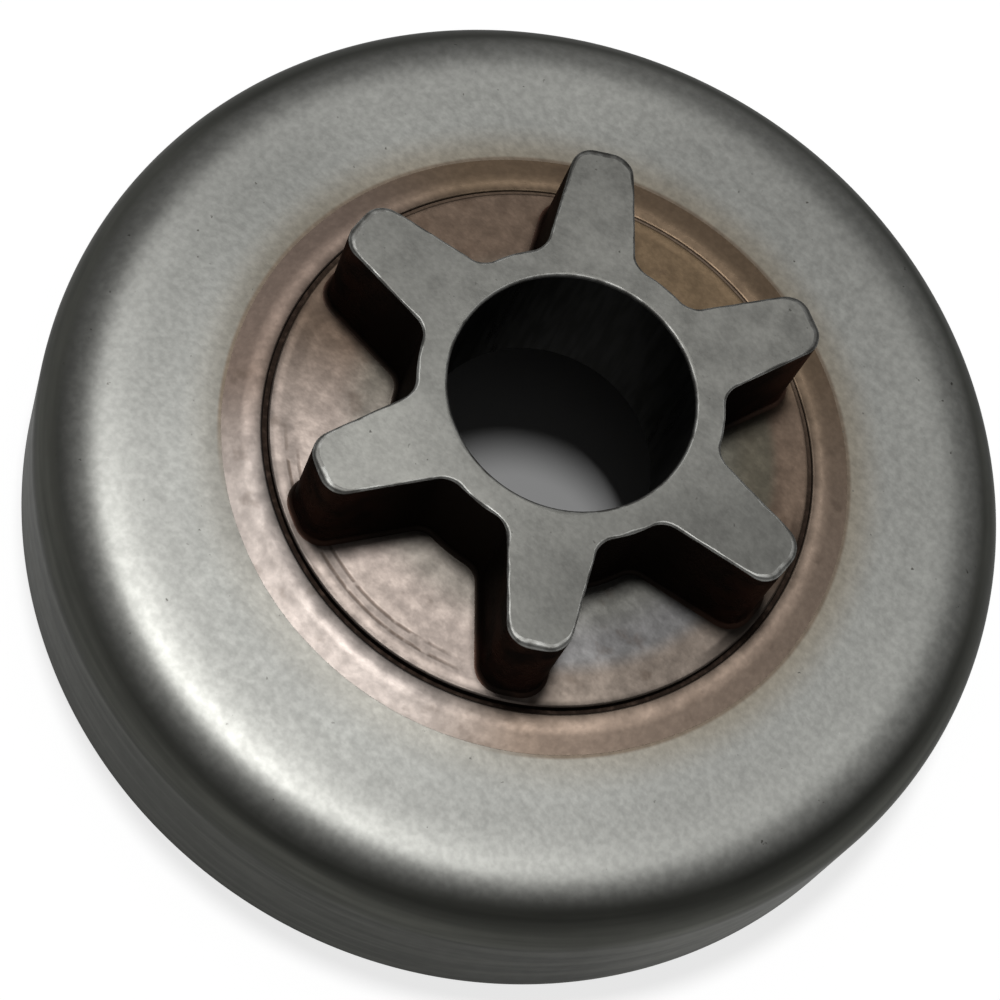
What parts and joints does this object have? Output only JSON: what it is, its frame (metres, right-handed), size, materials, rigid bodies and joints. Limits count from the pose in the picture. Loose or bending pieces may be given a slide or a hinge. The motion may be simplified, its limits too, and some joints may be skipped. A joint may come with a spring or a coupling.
{
  "type": "chainsaw clutch drum with spur sprocket",
  "caption": "Drawn steel clutch drum with a toothed spur sprocket brazed through its web, driven by clutch shoes inside the cup and driving a saw chain on the teeth.",
  "frame": {"origin": "centre of the drum's open rim, in the plane of the rim", "axes": "+Z along the axis of the bore, from the open cup towards the teeth; +X through the middle of one tooth"},
  "size_m": [0.053, 0.053, 0.0184],
  "materials": {
    "drum_steel": "satin grey steel with a fine cloudy bloom",
    "sprocket_steel": "brown furnace skin, with the tooth tops ground to plain grey",
    "braze_copper": "dull brown copper"
  },
  "bodies": {
    "root": {"clutch_drum": "drum_steel", "spur_sprocket": "sprocket_steel", "braze_ring": "braze_copper"}
  },
  "joints": []
}
